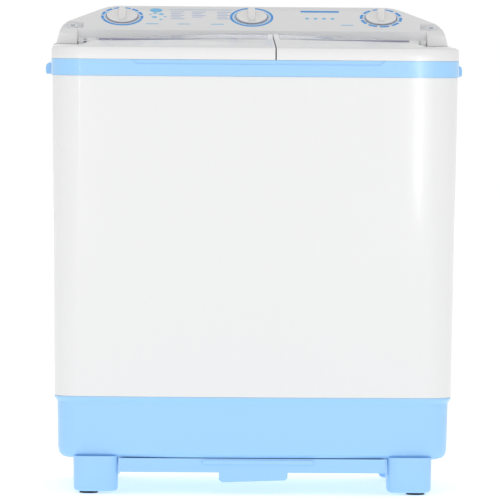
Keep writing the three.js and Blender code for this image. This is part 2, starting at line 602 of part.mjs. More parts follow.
// A knob made about the origin: a shallow dial, a tall finger bar across it, and the spindle below it.
function knobSolid() {
  const dial = turned(0, 0, [[0, 0.8], [KNOB_R, 0.8], [KNOB_R, 3], [KNOB_R - 1.6, 5], [KNOB_R - 5, 5.8], [0, 6.4]], 26);
  const stadium = (hx, hy, z) => boxRing(0, 0, hx, hy, hx, z, 4);
  const fin = loft([stadium(6, 24.5, 4), stadium(5.4, 24, 10.5), stadium(4.2, 22.8, 12.3)]);
  return join(dial, fin, rod(0, 0, -28, 2, 3, 12));
}

const timerBox = (hx, hy, depth) => cut(
  join(block(-hx, -hy, -depth, hx, hy, -5.5), rod(0, 0, -6, -4.2, 8, 16)), rod(0, 0, -32, 0, 3.4, 12));

// ---------------------------------------------------------------- wash drive
// The pulsator: a dished disc with curved-over vanes and a raised centre.
function pulsator() {
  const z = TUB_FLOOR + 12;
  const dish = turned(WASH.x, WASH.y, [
    [9.5, z + 2], [60, z], [100, z + 2], [110, z + 9], [107, z + 11], [97, z + 6], [58, z + 5], [34, z + 12],
    [28, z + 24], [9.5, z + 27]], 20);
  const vane = loft([boxRing(68, 0, 40, 9, 8.9, z + 2, 2), boxRing(64, 0, 32, 3, 2.9, z + 26, 2)]);
  const vanes = [0, 90, 180, 270].map((a) => vane.rotate([0, 0, a + 20]).translate([WASH.x, WASH.y, 0]));
  return cut(join(dish, ...vanes), rod(WASH.x, WASH.y, z - 2, z + 22, 9.5));
}

const pulsatorShaft = () => join(
  rod(WASH.x, WASH.y, PULLEY_Z - 8, TUB_FLOOR + 33, 8), rod(WASH.x, WASH.y, TUB_FLOOR + 39.6, TUB_FLOOR + 44, 16),
  rod(WASH.x, WASH.y, TUB_FLOOR + 30, TUB_FLOOR + 41, 8));

// A grooved pulley about (x, y) at the belt's height.
function pulley(x, y, r, bore, web) {
  const z = PULLEY_Z;
  return turned(x, y, [
    [bore, z - 6], [bore + 9, z - 6], [bore + 9, z + 2], [web, z + 2], [web, z - 2], [r + 3, z - 2], [r + 3, z],
    [r - 3, z + 4], [r - 3, z + 8], [r + 3, z + 12], [r + 3, z + 14], [web, z + 14], [web, z + 6],
    [bore + 9, z + 6], [bore + 9, z + 16], [bore, z + 16]], 14);
}

// The belt: a band around both pulleys, clear of their grooves.
function driveBelt() {
  const span = new THREE.Vector2().subVectors(WASH_MOTOR, WASH);
  const heading = span.angle();
  const lean = Math.acos((PULLEY_R - MOTOR_PULLEY_R) / span.length());
  const loop = (grow) => {
    const arc = (centre, r, from, to, steps) => Array.from({ length: steps + 1 }, (_, i) => {
      const a = heading + from + ((to - from) * i) / steps;
      return new THREE.Vector2(centre.x + (r + grow) * Math.cos(a), centre.y + (r + grow) * Math.sin(a));
    });
    return new THREE.Shape([
      ...arc(WASH, PULLEY_R, lean, 2 * Math.PI - lean, 20), ...arc(WASH_MOTOR, MOTOR_PULLEY_R, -lean, lean, 7)]);
  };
  const [z0, z1] = [PULLEY_Z + 4.4, PULLEY_Z + 7.6];
  return cut(prism(loop(3.5), "z", z0, z1), prism(loop(-2.4), "z", z0 - 1, z1 + 1));
}

const BRACKET_PLATE = [TUB_FLOOR - 3.8, TUB_FLOOR - GAP];
const MOTOR_TOP = BRACKET_PLATE[0] - GAP;

// A motor's stator and end covers, with a chamber for its rotor.
function stator(x, y, z0, z1, r, bore) {
  return turned(x, y, [
    [bore, z0], [r * 0.45, z0], [r * 0.8, z0 + 6], [r, z0 + 14], [r, z1 - 14], [r * 0.8, z1 - 6], [r * 0.45, z1],
    [bore, z1], [bore, z1 - 8], [r * 0.5, z1 - 8], [r * 0.5, z0 + 8], [bore, z0 + 8]], 14);
}

// A motor's rotor on its shaft.
function rotor(x, y, core, shaft, r, shaftR) {
  return turned(x, y, [
    [0, shaft[0]], [shaftR, shaft[0]], [shaftR, core[0]], [r, core[0]], [r, core[1]], [shaftR, core[1]],
    [shaftR, shaft[1]], [0, shaft[1]]], 14);
}

function motorBracket() {
  const plate = new THREE.Shape();
  boxRing((WASH.x + WASH_MOTOR.x) / 2, (WASH.y + WASH_MOTOR.y) / 2, 134, 96, 20, 0, 3)
    .forEach((p, i) => (i ? plate.lineTo(p.x, p.y) : plate.moveTo(p.x, p.y)));
  const made = prism(plate, "z", ...BRACKET_PLATE);
  return cut(made, rod(WASH.x, WASH.y, 300, 400, 12), rod(DRAIN_WASH.x, DRAIN_WASH.y, 300, 400, 15));
}

const gearboxHousing = () => turned(WASH.x, WASH.y, [
  [8.4, 228], [30, 228], [40, 238], [40, MOTOR_TOP - 16], [52, MOTOR_TOP - 10], [52, MOTOR_TOP], [8.4, MOTOR_TOP]], 16);

// ---------------------------------------------------------------- spin drive
// The basket: a perforated drum with a coned floor and a hub.
function spinBasket() {
  const [z0, z1] = [372, 710];
  let drum = turned(SPIN.x, SPIN.y, [
    [10.3, z0], [30, z0], [BASKET_R - 10, z0 + 4], [BASKET_R, z0 + 14], [BASKET_R, z1], [BASKET_R - 2.5, z1],
    [BASKET_R - 2.5, z0 + 16], [BASKET_R - 12, z0 + 7], [30, z0 + 3], [20, z0 + 22], [10.3, z0 + 22]], 24);
  const rows = 3;
  const perRow = 6;
  for (let row = 0; row < rows; row++) {
    for (let i = 0; i < perRow; i++) {
      const hole = bar("x", BASKET_R - 12, BASKET_R + 6, 0, 0, 5, 6);
      const turn = ((i + (row % 2) / 2) * 360) / perRow;
      drum = cut(drum, hole.rotate([0, 0, turn]).translate([SPIN.x, SPIN.y, z0 + 70 + row * 90]));
    }
  }
  return drum;
}

const balanceRing = () => turned(SPIN.x, SPIN.y, [
  [88, 714], [BASKET_R - 3, 710.3], [BASKET_R + 5, 710.3], [BASKET_R + 5, 722], [BASKET_R, 728], [94, 728],
  [88, 722]], 20);

const BRAKE_DRUM = { r: 50, z: [214, 246] };

// The spin shaft with the brake drum that couples it to the motor.
function basketShaft() {
  return turned(SPIN.x, SPIN.y, [
    [0, 222], [BRAKE_DRUM.r - 5, 222], [BRAKE_DRUM.r - 5, 214], [BRAKE_DRUM.r, 214], [BRAKE_DRUM.r, 246],
    [22, 246], [22, 262], [10, 266], [10, 400], [0, 400]], 18);
}

const SPIN_PLATE = [104, 108];

// The spin motor hangs on a round plate with three lugs, and the plate stands on three springs.
function spinMotorStator() {
  const plate = sleeve(SPIN.x, SPIN.y, ...SPIN_PLATE, 9.6, 90, 20);
  return join(plate, stator(SPIN.x, SPIN.y, SPIN_PLATE[1] - 1, 205, 60, 9.6));
}

// A suspension spring: a helix with a seat at each end.
function spring(angleDeg) {
  const angle = THREE.MathUtils.degToRad(angleDeg);
  const [cx, cy] = [SPIN.x + 76 * Math.cos(angle), SPIN.y + 76 * Math.sin(angle)];
  const [z0, z1] = [BASE_FLOOR + GAP, SPIN_PLATE[0] - GAP];
  const steps = 18; // three turns of six steps
  const points = Array.from({ length: steps + 1 }, (_, i) => {
    const a = (i * Math.PI) / 3;
    return [cx + 8 * Math.cos(a), cy + 8 * Math.sin(a), z0 + 3 + ((z1 - z0 - 6) * i) / steps];
  });
  const seats = [rod(cx, cy, z0, z0 + 4, 11, 10), rod(cx, cy, z1 - 4, z1, 11, 10)];
  return join(tube(points, 1.6, steps, 4), ...seats);
}

const BRAKE_PIVOT = new THREE.Vector2(270, 34);

// The brake post stands on the base and carries the lever on a pin.
function brakePost() {
  const { x, y } = BRAKE_PIVOT;
  return join(rod(x, y, BASE_FLOOR + GAP, 220, 11), rod(x, y, 219, 246, 4, 16), rod(x, y, 240.5, 246, 7, 16));
}

// The brake lever: a bar behind the drum with a curved shoe that faces it.
function brakeLever() {
  const { x, y } = BRAKE_PIVOT;
  const arm = join(block(150, y - 4, 221, x, y + 4, 240), rod(x, y, 221, 240, 9, 20));
  const shoe = block(SPIN.x - 24, 12, 222, SPIN.x + 24, y - 3, 239);
  const bore = rod(SPIN.x, SPIN.y, 200, 260, BRAKE_DRUM.r + 6, 48);
  return cut(join(arm, cut(shoe, bore)), rod(x, y, 215, 245, 4.3, 16));
}

// ---------------------------------------------------------------- water and service parts
const VALVE = { x: 0, y: 165, r: 24, z0: 286, z1: 346 };

// The drain valve with the two pipes that bring water to it from the tubs.
function drainValve() {
  const { x, y, r, z0, z1 } = VALVE;
  const chamber = turned(x, y, [
    [12, z0], [r, z0], [r, z1], [4.4, z1], [4.4, z1 - 4], [r - 4, z1 - 4], [r - 4, z0 + 4], [12, z0 + 4]], 16);
  const runs = [DRAIN_WASH, DRAIN_SPIN].map((p) => {
    const end = [x + Math.sign(p.x) * (r - 6), y - 4, 306];
    return [[p.x, p.y, TUB_FLOOR - 22.3], [p.x, p.y, TUB_FLOOR - 30], [p.x * 0.94, p.y + 14, 296],
      [p.x * 0.6, p.y + 62, 296], end];
  });
  const pipes = runs.map((run) => tube(run, 13, 7, 7));
  const bores = runs.map((run) => tube(
    [[run[0][0], run[0][1], TUB_FLOOR - 12], ...run.slice(1, -1), [run[4][0] * 0.7, y - 3, 306]], 9.5, 7, 6));
  const keepOut = rod(x, y, z0 + 4, z1 - 4, r - 4, 16);
  return cut(join(chamber, ...pipes), ...bores, keepOut);
}

// The valve's plunger with the long rod that the selector lifts.
function valveRod() {
  const { x, y, z0 } = VALVE;
  return turned(x, y, [
    [0, z0 + 5], [15, z0 + 5], [18, z0 + 9], [18, z0 + 13], [6, z0 + 20], [3, z0 + 22], [3, 750], [0, 750]], 20);
}

// The outlet elbow from the valve to the back of the cabinet.
function drainOutlet() {
  const { x, y, z0 } = VALVE;
  const run = [[x, y, z0 - GAP], [x, y, 268], [x, y + 6, 251], [x, y + 20, DRAIN_EXIT.z], [x, BACK - GAP, DRAIN_EXIT.z]];
  const open = [[x, y, z0 + 6], ...run.slice(1, -1), [x, BACK + 6, DRAIN_EXIT.z]];
  return cut(tube(run, DRAIN_EXIT.r, 8, 9), tube(open, 10, 8, 8));
}

// The lint filter: a framed screen that lifts out of its holder on the wash tub's back wall.
const FILTER = { x0: -208, x1: -112, z0: 554, z1: 700, y0: 66, y1: 80 };

function lintFilterHolder() {
  const { x0, x1, z0, y0, y1 } = FILTER;
  const backPlate = block(x0 - 4, y1 + 1, z0 - 6, x1 + 4, y1 + 4, 706);
  const cheeks = [[x0 - 4, x0 - 1], [x1 + 1, x1 + 4]].map(([a, b]) => block(a, y0 + 4, z0 - 6, b, y1 + 2, 696));
  return join(backPlate, ...cheeks, block(x0 - 4, y0 + 4, z0 - 6, x1 + 4, y1 + 2, z0 - 3));
}

function lintFilter() {
  const { x0, x1, z0, z1, y0, y1 } = FILTER;
  let frame = block(x0, y0, z0, x1, y1, z1);
  frame = cut(frame, block(x0 + 4, y0 + 3, z0 + 4, x1 - 4, y1 - 3, z1 + 1));
  const [columns, rows] = [3, 4];
  const cell = { w: (x1 - x0 - 14) / columns, h: (z1 - z0 - 26) / rows };
  for (let c = 0; c < columns; c++) {
    for (let r = 0; r < rows; r++) {
      const [x, z] = [x0 + 9 + c * cell.w, z0 + 9 + r * cell.h];
      frame = cut(frame, block(x, y0 - 1, z, x + cell.w - 4, y0 + 4, z + cell.h - 4));
    }
  }
  return frame;
}

const capacitor = () => join(
  rod(-230, 110, BASE_FLOOR + GAP, BASE_FLOOR + 8, 27, 20), rod(-230, 110, BASE_FLOOR + 7, BASE_FLOOR + 82, 21, 20),
  block(-238, 106, BASE_FLOOR + 81, -232, 114, BASE_FLOOR + 90), block(-228, 106, BASE_FLOOR + 81, -222, 114, BASE_FLOOR + 90));

// ---------------------------------------------------------------- the assembly
const washer = new THREE.Group();
washer.name = "twin_tub_washer";
const add = (name, made, material) => washer.add(piece(name, made, material));

add("base", base(), BLUE);
add("casing", casing(), WHITE);
add("rear_cover", rearCover(), WHITE);
add("cord_gland", cordGland(), BLACK);
add("bottom_cover", bottomCover(), BLUE);
for (const [endName, sideY] of [["front", -1], ["rear", 1]]) {
  for (const [sideName, sideX] of [["left", -1], ["right", 1]]) {
    add(`leg_${endName}_${sideName}`, leg(sideX, sideY), BLUE);
    add(`foot_pad_${endName}_${sideName}`, footPad(sideX, sideY), RUBBER);
  }
}

add("top_frame", topFrame(), BLUE);
add("wash_tub", washTub(), TUB_WHITE);
add("spin_tub", spinTub(), TUB_WHITE);
add("spin_tub_seal", spinTubSeal(), RUBBER);

add("wash_lid", lid(LIDS.wash), WHITE);
add("wash_lid_window", lidWindow(LIDS.wash), CLEAR);
add("spin_lid", lid(LIDS.spin), WHITE);
add("spin_lid_window", lidWindow(LIDS.spin), CLEAR);
add("wash_lid_hinge_rod", hingeRod(BRACKETS[0] - 5, BRACKETS[1] + 5), STEEL);
add("spin_lid_hinge_rod", hingeRod(BRACKETS[2] - 5, BRACKETS[3] + 5), STEEL);
add("spin_inner_lid", innerLid(), TUB_WHITE);

add("panel_base", panelBase(), WHITE);
add("panel_fascia", panelFascia(), PANEL_GREY);
add("water_inlet_left", inletSpigot(-1), TUB_WHITE);
add("water_inlet_right", inletSpigot(1), TUB_WHITE);
add("wash_timer_knob", onFace(knobSolid(), KNOB_X.wash, KNOB_Y), WHITE);
add("selector_knob", onFace(knobSolid(), KNOB_X.selector, KNOB_Y), WHITE);
add("spin_timer_knob", onFace(knobSolid(), KNOB_X.spin, KNOB_Y), WHITE);
add("wash_timer", onFace(timerBox(28, 22, 33), KNOB_X.wash, KNOB_Y), BLACK);
add("selector_switch", onFace(timerBox(32, 20, 30), KNOB_X.selector, KNOB_Y), BLACK);
add("spin_timer", onFace(timerBox(28, 22, 33), KNOB_X.spin, KNOB_Y), BLACK);

add("pulsator", pulsator(), BLUE);
add("pulsator_shaft", pulsatorShaft(), STEEL);
add("drive_pulley", pulley(WASH.x, WASH.y, PULLEY_R, 8.3, PULLEY_R - 10), ALUMINIUM);
add("gearbox_housing", gearboxHousing(), ALUMINIUM);
add("motor_bracket", motorBracket(), STEEL);
add("wash_motor_stator", stator(WASH_MOTOR.x, WASH_MOTOR.y, 230, MOTOR_TOP, 56, 8.6), ALUMINIUM);
add("wash_motor_rotor", rotor(WASH_MOTOR.x, WASH_MOTOR.y, [242, 318], [PULLEY_Z - 6, 328], 26, 8), STEEL);
add("motor_pulley", pulley(WASH_MOTOR.x, WASH_MOTOR.y, MOTOR_PULLEY_R, 8.3, MOTOR_PULLEY_R - 7), ALUMINIUM);
add("drive_belt", driveBelt(), RUBBER);

add("spin_basket", spinBasket(), TUB_WHITE);
add("balance_ring", balanceRing(), TUB_WHITE);
add("basket_shaft", basketShaft(), STEEL);
add("spin_motor_stator", spinMotorStator(), ALUMINIUM);
add("spin_motor_rotor", rotor(SPIN.x, SPIN.y, [120, 190], [110, 221], 27, 9), STEEL);
[30, 150, 270].forEach((angle, i) => add(`motor_spring_${i + 1}`, spring(angle), STEEL));
add("brake_post", brakePost(), STEEL);
add("brake_lever", brakeLever(), STEEL);

add("drain_valve", drainValve(), TUB_WHITE);
add("drain_valve_rod", valveRod(), TUB_WHITE);
add("drain_outlet", drainOutlet(), BLACK);
add("lint_filter_holder", lintFilterHolder(), TUB_WHITE);
add("lint_filter", lintFilter(), BLUE);
add("capacitor", capacitor(), BLACK);

export default washer;
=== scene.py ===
"""The look of the twin tub washer: finished surfaces, dials, panel printing, screws, basket and fittings
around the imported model, with a camera in front and plain soft studio light. Metres, in the model's frame."""

import json
import math

import bmesh
import bpy
from mathutils import Matrix, Vector


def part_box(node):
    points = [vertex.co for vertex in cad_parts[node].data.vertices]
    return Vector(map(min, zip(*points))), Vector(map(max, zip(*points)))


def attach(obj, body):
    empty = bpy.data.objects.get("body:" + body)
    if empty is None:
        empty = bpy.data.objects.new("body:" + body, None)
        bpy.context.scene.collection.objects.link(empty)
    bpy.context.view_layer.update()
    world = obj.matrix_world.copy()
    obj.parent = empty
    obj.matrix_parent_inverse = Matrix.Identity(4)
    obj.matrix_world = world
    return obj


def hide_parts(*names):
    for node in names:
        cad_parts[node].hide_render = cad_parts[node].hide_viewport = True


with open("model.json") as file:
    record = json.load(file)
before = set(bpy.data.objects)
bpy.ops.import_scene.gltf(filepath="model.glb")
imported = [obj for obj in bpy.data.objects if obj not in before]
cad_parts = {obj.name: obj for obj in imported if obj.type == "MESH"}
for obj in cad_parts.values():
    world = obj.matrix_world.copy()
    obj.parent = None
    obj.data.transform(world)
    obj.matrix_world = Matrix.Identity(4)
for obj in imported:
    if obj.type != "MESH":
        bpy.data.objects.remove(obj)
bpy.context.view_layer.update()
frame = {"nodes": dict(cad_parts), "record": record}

MM = 0.001
NODES = frame["nodes"]
BODY_OF = {node: body for body, nodes in frame["record"]["behaviour"]["bodies"].items() for node in nodes}
SLOT_OF = {part["node"]: part["material_slot"] for part in frame["record"]["subparts"]}
JOINTS = {joint["name"]: joint for joint in frame["record"]["behaviour"]["joints"]}


# ---------------------------------------------------------------- materials
def linear(red, green, blue):
    """An sRGB colour of 0 to 255 as Blender's linear colour."""
    def one(value):
        value /= 255
        return value / 12.92 if value <= 0.04045 else ((value + 0.055) / 1.055) ** 2.4
    return (one(red), one(green), one(blue), 1)


def noise(nodes, links, vector, scale, detail=2.0):
    texture = nodes.new("ShaderNodeTexNoise")
    texture.inputs["Scale"].default_value = scale
    texture.inputs["Detail"].default_value = detail
    links.new(vector, texture.inputs["Vector"])
    return texture.outputs["Fac"]


def surface(name, colour, roughness, vary=0.03, stretch=(1, 1, 1), grain=1400, bump=0.04, mottle=7, **fixed):
    """A moulded or metal surface with slow colour drift, uneven gloss and a fine grain.

    fixed holds the values of shader sockets."""
    made = bpy.data.materials.new(name)
    made.use_nodes = True
    nodes, links = made.node_tree.nodes, made.node_tree.links
    shader = nodes["Principled BSDF"]
    place = nodes.new("ShaderNodeTexCoord")
    mapping = nodes.new("ShaderNodeMapping")
    mapping.inputs["Scale"].default_value = stretch
    links.new(place.outputs["Object"], mapping.inputs["Vector"])
    where = mapping.outputs["Vector"]
    drift = nodes.new("ShaderNodeMix")
    drift.data_type = "RGBA"
    links.new(noise(nodes, links, where, mottle), drift.inputs["Factor"])
    darker = [channel * (1 - vary) for channel in colour[:3]]
    drift.inputs[6].default_value = (*darker, 1)
    drift.inputs[7].default_value = colour
    links.new(drift.outputs[2], shader.inputs["Base Color"])
    gloss = nodes.new("ShaderNodeMapRange")
    gloss.inputs["To Min"].default_value = max(roughness - 0.05, 0.02)
    gloss.inputs["To Max"].default_value = roughness + 0.06
    links.new(noise(nodes, links, where, mottle * 9, 4.0), gloss.inputs["Value"])
    links.new(gloss.outputs["Result"], shader.inputs["Roughness"])
    relief = nodes.new("ShaderNodeBump")
    relief.inputs["Strength"].default_value = bump
    relief.inputs["Distance"].default_value = 0.1 * MM
    links.new(noise(nodes, links, where, grain), relief.inputs["Height"])
    links.new(relief.outputs["Normal"], shader.inputs["Normal"])
    for socket, value in fixed.items():
        shader.inputs[socket.replace("_", " ")].default_value = value
    return made


GLOSS = {"Coat_Weight": 0.35, "Coat_Roughness": 0.08}
LOOKS = {
    "white": surface("moulded_white", linear(231, 231, 231), 0.3, 0.012, (9, 9, 0.5), **GLOSS),
    "blue": surface("moulded_blue", linear(158, 208, 250), 0.32, 0.02, **GLOSS),
    "panel_grey": surface("panel_film", linear(236, 236, 237), 0.38, 0.02, grain=2200, bump=0.03),
    "tub_white": surface("tub_polypropylene", linear(236, 239, 243), 0.42, 0.04, grain=700, bump=0.08),
    "rubber": surface("foot_rubber", linear(30, 31, 34), 0.8, 0.2, grain=500, bump=0.35),
    "black_plastic": surface("black_moulding", linear(44, 46, 50), 0.5, 0.12, grain=900, bump=0.2),
    "steel": surface("zinc_plate", linear(200, 203, 208), 0.34, 0.1, (1, 1, 14), 300, 0.12, Metallic=1.0),
    "aluminium": surface("cast_aluminium", linear(188, 191, 196), 0.5, 0.12, grain=260, bump=0.4,
                         Metallic=1.0),
    "clear": surface("clear_window", linear(236, 238, 250), 0.06, 0.01, grain=500, bump=0.01,
                     Transmission_Weight=0.82, IOR=1.47),
}
PRINT_BLUE = surface("print_blue", linear(62, 158, 234), 0.45, 0.05, bump=0.02)
PRINT_SKY = surface("print_sky", linear(118, 196, 240), 0.45, 0.05, bump=0.02)
PRINT_PALE = surface("print_pale", linear(186, 200, 226), 0.45, 0.04, bump=0.02)
# painted shade: a dull violet for the thin dark lines under each window's front edge and around each dial
PAINTED_SHADE_VIOLET = surface("painted_shade_line", linear(146, 144, 172), 0.4, 0.08, bump=0.02)
DIAL_WHITE = surface("dial_white", linear(236, 235, 234), 0.22, 0.01, Coat_Weight=0.6, Coat_Roughness=0.05)
COPPER = surface("copper_winding", linear(190, 110, 66), 0.35, 0.2, (1, 1, 60), 300, 0.5, Metallic=1.0)
FLOOR_WHITE = surface("floor_white", linear(253, 253, 253), 0.9, 0.004, bump=0.0,
                      Emission_Color=(1, 1, 1, 1), Emission_Strength=0.42)


# ---------------------------------------------------------------- mesh helpers
def place(name, bm, material, body, slot=None, replaced=(), smooth=35, bevel=0.0, segments=2):
    """A bmesh as a piece that rides on a body."""
    mesh = bpy.data.meshes.new(name)
    bmesh.ops.recalc_face_normals(bm, faces=bm.faces)
    bm.to_mesh(mesh)
    bm.free()
    mesh.materials.append(material)
    mesh.shade_smooth()
    mesh.set_sharp_from_angle(angle=math.radians(smooth))
    piece = bpy.data.objects.new(name, mesh)
    bpy.context.scene.collection.objects.link(piece)
    if bevel:
        rounding = piece.modifiers.new("edges", "BEVEL")
        rounding.width = bevel
        rounding.segments = segments
        rounding.limit_method = "ANGLE"
        rounding.angle_limit = math.radians(smooth)
        rounding.harden_normals = True
    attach(piece, body)
    if replaced:
        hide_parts(*replaced)
    return piece


def refined(node, bevel=0.0, smooth=32, segments=2):
    """A model node as a finished piece: merged faces, smooth rounds and softened edges."""
    source = NODES[node].data
    bm = bmesh.new()
    corners = [bm.verts.new(vertex.co) for vertex in source.vertices]
    for face in source.polygons:
        picked = [corners[i] for i in face.vertices]
        if not bm.faces.get(picked):
            bm.faces.new(picked)
    bmesh.ops.remove_doubles(bm, verts=bm.verts, dist=0.01 * MM)
    bmesh.ops.dissolve_limit(bm, angle_limit=math.radians(0.6), verts=bm.verts, edges=bm.edges)
    slot = SLOT_OF[node]
    return place(f"{node}_finish", bm, LOOKS[slot], BODY_OF[node], slot, (node,), smooth, bevel, segments)


def lathe(bm, profile, segments=96, at=Matrix()):
    """Adds a turned solid about at's Z to bm, from [radius, height] pairs. Ends on the axis are closed."""
    rings = []
    for radius, height in profile:
        if radius < 1e-9:
            rings.append([bm.verts.new(at @ Vector((0, 0, height)))])
            continue
        turns = [2 * math.pi * i / segments for i in range(segments)]
        points = [Vector((radius * math.cos(t), radius * math.sin(t), height)) for t in turns]
        rings.append([bm.verts.new(at @ point) for point in points])
    closed = profile[0][0] > 1e-9 and profile[-1][0] > 1e-9
    pairs = list(zip(rings, rings[1:])) + ([(rings[-1], rings[0])] if closed else [])
    for low, high in pairs:
        for i in range(segments):
            j = (i + 1) % segments
            quad = [low[i % len(low)], low[j % len(low)], high[j % len(high)], high[i % len(high)]]
            bm.faces.new(list(dict.fromkeys(quad)))


def prism(bm, outline, low, high, at=Matrix()):
    """Adds a flat-topped solid over a plan outline of (x, y) to bm."""
    bottom = [bm.verts.new(at @ Vector((x, y, low))) for x, y in outline]
    top = [bm.verts.new(at @ Vector((x, y, high))) for x, y in outline]
    bm.faces.new(bottom)
    bm.faces.new(top)
    for i in range(len(outline)):
        j = (i + 1) % len(outline)
        bm.faces.new([bottom[i], bottom[j], top[j], top[i]])


def loft(bm, rings, at=Matrix()):
    """Adds a closed solid through rings of points to bm."""
    made = [[bm.verts.new(at @ Vector(p)) for p in ring] for ring in rings]
    for low, high in zip(made, made[1:]):
        for i in range(len(low)):
            j = (i + 1) % len(low)
            bm.faces.new([low[i], low[j], high[j], high[i]])
    bm.faces.new(made[0])
    bm.faces.new(made[-1])


def rounded(half_x, half_y, radius, steps=6, centre=(0, 0)):
    """The plan outline of a rounded rectangle."""
    outline = []
    for quarter, (sx, sy) in enumerate([(1, 1), (-1, 1), (-1, -1), (1, -1)]):
        for i in range(steps + 1):
            angle = math.pi / 2 * (quarter + i / steps)
            outline.append((centre[0] + sx * (half_x - radius) + radius * math.cos(angle),
                            centre[1] + sy * (half_y - radius) + radius * math.sin(angle)))
    return outline


def arc_band(inner, outer, start, end, steps=24):
    """The plan outline of a stretch of a ring, with angles in degrees."""
    def run(radius, a, b):
        angles = [math.radians(a + (b - a) * i / steps) for i in range(steps + 1)]
        return [(radius * math.cos(t), radius * math.sin(t)) for t in angles]
    return run(outer, start, end) + run(inner, end, start)


# ---------------------------------------------------------------- the panel's face
KNOBS = {name: JOINTS[f"{name}_turn"] for name in ("wash_timer", "selector", "spin_timer")}
KNOB_AT = {name: Vector(joint["pos_m"]) for name, joint in KNOBS.items()}
FACE_TILT = math.atan2(KNOBS["selector"]["axis"][1], -KNOBS["selector"]["axis"][2])
FACE_MIDDLE = KNOB_AT["selector"]
PRINT_LOW, PRINT_HIGH = 0.02 * MM, 0.16 * MM


def on_face(x=0.0, up=0.0):
    """The panel face's frame at x across and up the slope from the dials' centre line, with Z outwards."""
    frame_here = Matrix.Translation(FACE_MIDDLE) @ Matrix.Rotation(FACE_TILT, 4, "X")
    return frame_here @ Matrix.Translation((x, up, 0))


def knob(name):
    """A dial with a rounded rim, a shallow dish and a tall finger bar, over a thin violet ring on the panel
    that paints the shade around the dial.
    """
    at = on_face(KNOB_AT[name].x)
    bm = bmesh.new()
    rim = [(0, 0.9), (26.6, 0.9), (27.2, 1.4), (27.3, 2.4), (26.9, 3.2), (26, 3.7), (25, 3.8), (23.8, 3.3),
           (20, 2.6), (0, 2.2)]
    lathe(bm, [(r * MM, z * MM) for r, z in rim], 120, at)
    heights = [(6.4, 24.3, 2), (6.2, 24.2, 5.4), (5.8, 23.9, 7.2), (4.9, 23.2, 8.2), (3.6, 22.0, 8.6)]
    rings = []
    for half_x, half_y, z in heights:
        plan = rounded(half_x * MM, half_y * MM, half_x * MM * 0.98, 10)
        rings.append([(x, y, z * MM) for x, y in plan])
    loft(bm, rings, at)
    lathe(bm, [(0, -28 * MM), (3 * MM, -28 * MM), (3 * MM, 1 * MM), (0, 1 * MM)], 32, at)
    body = BODY_OF[f"{name}_knob"]
    place(f"{name}_dial", bm, DIAL_WHITE, body, "white", (f"{name}_knob",), 40)
    # painted shade: a thin violet ring just outside the dial's rim, where the dial's shade falls on the panel
    painted_shade_ring = bmesh.new()
    section = [(27.5, 0.15), (29, 0.15), (29, 0.5), (27.5, 0.5)]
    lathe(painted_shade_ring, [(r * MM, z * MM) for r, z in section], 96, at)
    place(f"{name}_seat", painted_shade_ring, PAINTED_SHADE_VIOLET, BODY_OF["panel_fascia"])


def printed(name, outlines, ink, x=0.0, up=0.0):
    """Flat printing on the panel's face."""
    bm = bmesh.new()
    for outline in outlines:
        prism(bm, outline, PRINT_LOW, PRINT_HIGH, on_face(x, up))
    place(name, bm, ink, BODY_OF["panel_fascia"])


def disc(radius, x=0.0, y=0.0, squash=1.0, steps=32):
    turns = [2 * math.pi * i / steps for i in range(steps)]
    return [(x + radius * math.cos(t), y + squash * radius * math.sin(t)) for t in turns]


def dashes(inner, outer, count, gap, start=0.0, sweep=360.0):
    step = sweep / count
    return [arc_band(inner, outer, start + i * step + gap / 2, start + (i + 1) * step - gap / 2, 6)
            for i in range(count)]


def bar(x0, x1, y, thick):
    return [(x0, y - thick / 2), (x1, y - thick / 2), (x1, y + thick / 2), (x0, y + thick / 2)]


def panel_printing():
    """Dial scales, bubbles, blank table rules and plain label bars. No words are printed."""
    left, middle, right = (KNOB_AT[name].x for name in ("wash_timer", "selector", "spin_timer"))
    inner, outer, fine = 32.5 * MM, 37.5 * MM, 0.9 * MM
    half_ring = arc_band(inner, outer, 200, 340, 48)
    printed("wash_scale", [half_ring, *dashes(inner, outer, 8, 6, -20, 220)], PRINT_BLUE, left)
    printed("wash_scale_inner", dashes(30 * MM, 30 * MM + fine, 16, 3, -20, 220), PRINT_SKY, left)
    printed("selector_scale", [arc_band(34 * MM, 38.5 * MM, 100, 440, 96)], PRINT_BLUE, middle)
    printed("selector_scale_inner", [arc_band(30 * MM, 31.6 * MM, 110, 430, 96)], PRINT_SKY, middle)
    printed("spin_scale", dashes(inner, outer, 10, 9, 9), PRINT_BLUE, right)
    printed("spin_scale_inner", dashes(30 * MM, 30 * MM + fine, 20, 4, 4), PRINT_SKY, right)
    bubbles = [(11, 60, 26), (4.6, 69, 10), (3.4, 58, 14), (5, 57, -2), (3, 68, -12), (2.2, 50, 8),
               (2.6, 76, 0)]
    printed("bubbles", [disc(r * MM, x * MM, y * MM, 0.72) for r, x, y in bubbles], PRINT_SKY, left)
    rules = [bar(84 * MM, 196 * MM, 29 * MM, 0.8 * MM)]
    printed("table_rule", rules, PRINT_SKY, left)
    rows = []
    for column, x in enumerate((86, 124, 168)):
        for row in range(5 - column % 2):
            rows.append(bar(x * MM, (x + 24 - 6 * (row % 2)) * MM, (20 - 7 * row) * MM, 2.6 * MM))
    printed("table_rows", rows, PRINT_PALE, left)
    labels = [(left + 52 * MM, -30), (left + 108 * MM, -30), (middle - 62 * MM, -30), (right - 62 * MM, -30)]
    printed("label_bars", [bar(x - 10 * MM, x + 12 * MM, up * MM, 2.4 * MM) for x, up in labels], PRINT_SKY)
    badge = [rounded(34 * MM, 3.2 * MM, 1.4 * MM, 4, (121 * MM, 25 * MM))]
    printed("blank_badge", badge, PRINT_BLUE)
    dots = [disc(3.4 * MM, (98 + 15 * i) * MM, -4 * MM) for i in range(4)]
    printed("plain_dots", dots, PRINT_SKY)


